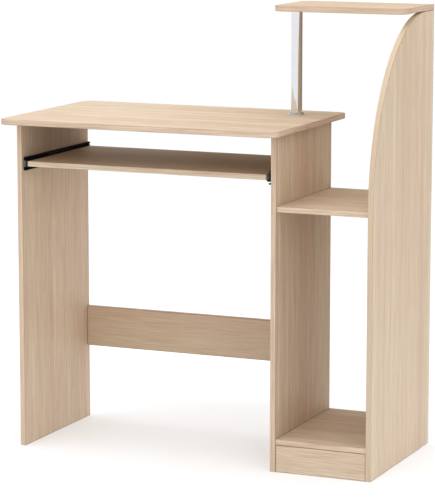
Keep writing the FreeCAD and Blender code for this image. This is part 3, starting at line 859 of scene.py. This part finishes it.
for hand, side in slides.items():
    face, sign = side
    cage_low, cage_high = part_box(hand + "_ball_cage")
    cage_reach = cage_high.x - cage_low.x + cage_wrap
    path = rounded_path(mirrored([(cage_reach, race_v), (cage_u, race_v)]), [cage_bend, cage_bend])
    cage_grids = rolled_strip(path, cage_strip, side, cage_low.y, cage_high.y)
    ball_grids = []
    for k in range(balls_per_row):
        y = cage_low.y + cage_margin + k * ball_pitch
        for way in (1.0, -1.0):
            centre = (face + sign * race_u, y, slide_level + way * race_v)
            cage_grids.append(turned(pocket_profile, centre, (0, 0, way), ball_sides))
            ball_grids.append(turned(ball_profile, centre, (0, 0, 1), ball_sides))
    cage = build(hand + "_cage_strip", cage_grids)
    wear(dark_cage_zinc, cage)
    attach(cage, hand + "_cage")
    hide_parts(hand + "_ball_cage")
    ball_set = build(hand + "_ball_set", ball_grids)
    wear(bright, ball_set)
    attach(ball_set, hand + "_cage")
    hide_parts(hand + "_slide_balls")

# A moulded plastic stop is pressed into the back end of each outer channel. It is a block with
# rounded corners and a moulded pocket in its back face.
stop_round = 0.0016
pocket_deep = 0.004
pocket_wall = 0.0015
pocket_draft = 0.0002
edge_break = 0.0006
loop_points = 49


def moulded_block(centre, half_wide, half_high, profile):
    """Loops of a rounded rectangle, one for each (inset, y) of the profile, from pole to pole.

    A loop is a circle of the corner's radius pushed out to the four corners by the signs of its
    cosine and sine, after which the inset shrinks it about the centre.
    """
    turn = np.linspace(0.0, 2.0 * math.pi, loop_points)
    cos = np.cos(turn)
    sin = np.sin(turn)
    wide = (half_wide - stop_round) * np.sign(np.round(cos, 9)) + stop_round * cos
    high = (half_high - stop_round) * np.sign(np.round(sin, 9)) + stop_round * sin
    rows = []
    for inset, y in profile:
        shrink_wide = max(1.0 - inset / half_wide, 0.0)
        shrink_high = max(1.0 - inset / half_high, 0.0) if inset < half_wide else 0.0
        rows.append(np.stack([centre[0] + wide * shrink_wide, np.full_like(turn, y),
                              centre[2] + high * shrink_high], axis=-1))
    return np.stack(rows)


plastic = mottled("black_plastic", (0.014, 0.014, 0.015, 1.0), (0.026, 0.026, 0.027, 1.0), 0.0, 0.46, 0.12,
                  260.0, 0.00003)
for hand in slides:
    low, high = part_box(hand + "_slide_stop")
    half_wide = (high.x - low.x) / 2
    half_high = (high.z - low.z) / 2
    profile = [(half_wide, low.y), (edge_break, low.y), (0.0, low.y + edge_break),
               (0.0, high.y - edge_break), (edge_break, high.y), (pocket_wall, high.y),
               (pocket_wall + pocket_draft, high.y - pocket_deep), (half_wide, high.y - pocket_deep)]
    stop = build(hand + "_end_stop", [moulded_block((low + high) / 2, half_wide, half_high, profile)])
    wear(plastic, stop)
    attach(stop, "root")
    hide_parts(hand + "_slide_stop")

# Three countersunk screws hold each outer channel to its panel, and three pan-head screws pass from
# inside each inner channel into the tray's edge. All have a pressed cross recess and a rolled thread.
screw_radius = 0.0015
screw_pitch = 0.0012
screw_sides = 32
thread_depth = 0.0003
head_radius = 0.0030
head_rows = 12
recess_long = 0.0017
recess_wide = 0.0004
flat_recess_deep = 0.0009
pan_recess_deep = 0.0012
panel_length = 0.010
tray_length = 0.020
pan_height = 0.0018


def headed(shank, head, top):
    """A screw's profile: its threaded shank, its head's outline, and rings across its top to the pole."""
    rings = np.linspace(head[-1][0], 0.0, head_rows)[1:]
    return shank + list(head) + [(radius, top) for radius in rings]


screw_grids = {"panel": [], "tray": []}
for hand, (face, sign) in slides.items():
    inner_face = face + sign * (slide_width - strip)
    for reach in screw_places:
        y = outer_low.y + reach
        top = panel_length + strip + 0.0001
        profile = headed(threaded(screw_radius, panel_length, screw_pitch),
                         [(screw_radius, panel_length), (head_radius, top - 0.0001), (0.0029, top)], top)
        screw_grids["panel"].append(turned(
            profile, (face - sign * panel_length, y, slide_level), (sign, 0, 0), screw_sides,
            cross_recess(recess_long, recess_wide, flat_recess_deep, top - 0.00005),
            rolled_thread(screw_pitch, thread_depth, panel_length)))
        length = tray_length + strip
        top = length + pan_height
        profile = headed(threaded(screw_radius, length, screw_pitch),
                         [(head_radius, length), (head_radius, top - 0.0008), (0.0027, top - 0.0002),
                          (0.0022, top)], top)
        screw_grids["tray"].append(turned(
            profile, (inner_face + sign * length, y, slide_level), (-sign, 0, 0), screw_sides,
            cross_recess(recess_long, recess_wide, pan_recess_deep, top - 0.0001),
            rolled_thread(screw_pitch, thread_depth, length - strip)))
for name, body in (("panel", "root"), ("tray", "tray")):
    screws = build(name + "_screws", screw_grids[name])
    wear(zinc, screws)
    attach(screws, body)
    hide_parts("slide_" + name + "_screws")

# The post under the top shelf is a 25 mm steel tube, polished and chrome plated. A spun collar
# covers each end, seated flat on the board and rounded in towards the tube.
tube_wall = 0.001
tube_chamfer = 0.0002
post_sides = 96
collar_gap = 0.00005
collar_foot = 0.0004
collar_rim = 0.0028
collar_shoulder = 0.0026
rim_round = 0.0006
shoulder_round = 0.003
mouth_round = 0.0003
chrome_dark = (0.80, 0.80, 0.81, 1.0)
chrome_light = (0.84, 0.84, 0.845, 1.0)
chrome, chrome_shader, place = new_finish("chrome_plate")
haze = place.noise(18.0, 4.0, 0.6)
polish = place.stretched((1.0, 1.0, 0.06)).noise(900.0, 2.0)
feed(chrome_shader, "Base Color", haze.step(0.3, 0.7).blend(chrome_dark, chrome_light))
feed(chrome_shader, "Metallic", 1.0)
feed(chrome_shader, "Roughness", 0.045 + 0.05 * haze + 0.02 * polish)
feed(chrome_shader, "Normal", bump(place, polish, 0.0000015))

low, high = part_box("post_tube")
axis_x = (low.x + high.x) / 2
axis_y = (low.y + high.y) / 2
tube_radius = (high.x - low.x) / 2
tall = high.z - low.z
tube_bore = tube_radius - tube_wall
tube_profile = [(tube_bore, 0.0), (tube_radius - tube_chamfer, 0.0), (tube_radius, tube_chamfer),
                (tube_radius, tall - tube_chamfer), (tube_radius - tube_chamfer, tall),
                (tube_bore, tall), (tube_bore, 0.0)]
pieces = [("chrome_tube", "post_tube", tube_profile, (axis_x, axis_y, low.z), (0, 0, 1))]
for name, node, way in (("lower_collar", "post_lower_flange", 1),
                        ("upper_collar", "post_upper_flange", -1)):
    low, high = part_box(node)
    wide = (high.x - low.x) / 2
    tall = high.z - low.z
    bore = tube_radius + collar_gap
    outline = rounded_path([(bore, 0.0), (wide, 0.0), (wide, collar_rim), (wide - collar_shoulder, tall),
                            (bore, tall), (bore, 0.0)],
                           [collar_foot, rim_round, shoulder_round, mouth_round])
    foot = (axis_x, axis_y, low.z if way > 0 else high.z)
    pieces.append((name, node, outline, foot, (0, 0, way)))
for name, node, profile, foot, way in pieces:
    piece = build(name, [turned(profile, foot, way, post_sides)], 30.0)
    wear(chrome, piece)
    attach(piece, "root")
    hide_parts(node)

# A ribbed plastic plug closes each end of the tube and takes the thread. A socket screw with a broad
# washer pulls the lower end down from under the desktop, and a double-ended stud holds the upper one.
plug_ribs = 16
rib_depth = 0.0004
plug_length = 0.018
plug_radius = 0.0114
plug_mouth = 0.0112
plug_mouth_chamfer = 0.0003
plug_nose = 0.0106
plug_nose_chamfer = 0.0008
plug_hole = 0.00305
plug_sides = 128
socket_radius = 0.002
socket_deep = 0.002
bolt_radius = 0.003
bolt_pitch = 0.001
wood_pitch = 0.0016
stud_core = 0.82
button_radius = 0.006
washer_hole = 0.0034


def ribbing(turn, height):
    """The plug's lengthwise ribs: a cosine wave round it."""
    return rib_depth * (0.5 - 0.5 * np.cos(plug_ribs * turn)) + 0.0 * height


def hexagon_socket(x, y, height):
    """A key's socket: a point of the head sinks where it is within the hexagon's flats."""
    flats = [abs(x * math.cos(turn) + y * math.sin(turn))
             for turn in (0.0, math.pi / 3, 2 * math.pi / 3)]
    within = eased((socket_radius - np.maximum.reduce(flats)) / 0.0002)
    return socket_deep * within * (height > 0.0)


desk_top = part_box("desktop")[1].z
shelf_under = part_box("top_shelf")[0].z
plug_profile = [(plug_hole, 0.0), (plug_mouth, 0.0), (plug_radius, plug_mouth_chamfer),
                (plug_radius, plug_length - plug_nose_chamfer), (plug_nose, plug_length),
                (plug_hole, plug_length), (plug_hole, 0.0)]
tube_plugs = build("tube_plugs", [
    turned(plug_profile, (axis_x, axis_y, desk_top), (0, 0, 1), plug_sides, relief=ribbing),
    turned(plug_profile, (axis_x, axis_y, shelf_under), (0, 0, -1), plug_sides, relief=ribbing)])
wear(plastic, tube_plugs)
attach(tube_plugs, "root")
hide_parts("post_end_plugs")

low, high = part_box("post_washer")
washer_radius = (high.x - low.x) / 2
washer_thick = high.z - low.z
washer_profile = rounded_path([(washer_hole, 0.0), (washer_radius, 0.0), (washer_radius, washer_thick),
                               (washer_hole, washer_thick), (washer_hole, 0.0)],
                              [0.0004, 0.0004, 0.0003])
plate_washer = turned(washer_profile, (axis_x, axis_y, low.z), (0, 0, 1), 64)

screw_low, screw_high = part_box("post_bolt")
shank_length = screw_high.z - low.z
head_top = screw_high.z - screw_low.z
button = [(button_radius, shank_length), (button_radius, head_top - 0.0016), (0.0056, head_top - 0.0007),
          (0.0046, head_top - 0.0001), (0.0042, head_top)]
post_screw = turned(headed(threaded(bolt_radius, shank_length, bolt_pitch), button, head_top),
                    (axis_x, axis_y, screw_high.z), (0, 0, -1), 48,
                    lambda x, y, height: hexagon_socket(x, y, height - head_top + 0.0001),
                    rolled_thread(bolt_pitch, thread_depth, shank_length))

stud_low, stud_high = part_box("post_hanger_stud")
stud_length = stud_high.z - stud_low.z
wood_end = threaded(bolt_radius, stud_high.z - shelf_under, wood_pitch)
stud_profile = threaded(bolt_radius, shelf_under - stud_low.z, bolt_pitch)
stud_profile += [(radius * stud_core, stud_length - height) for radius, height in reversed(wood_end)]
post_stud = turned(stud_profile, (axis_x, axis_y, stud_low.z), (0, 0, 1), 24,
                   relief=rolled_thread(bolt_pitch, thread_depth, stud_length - 0.0005))
for name, node, grid in (("plate_washer", "post_washer", plate_washer),
                         ("post_screw", "post_bolt", post_screw),
                         ("post_stud", "post_hanger_stud", post_stud)):
    piece = build(name, [grid])
    wear(zinc, piece)
    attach(piece, "root")
    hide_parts(node)
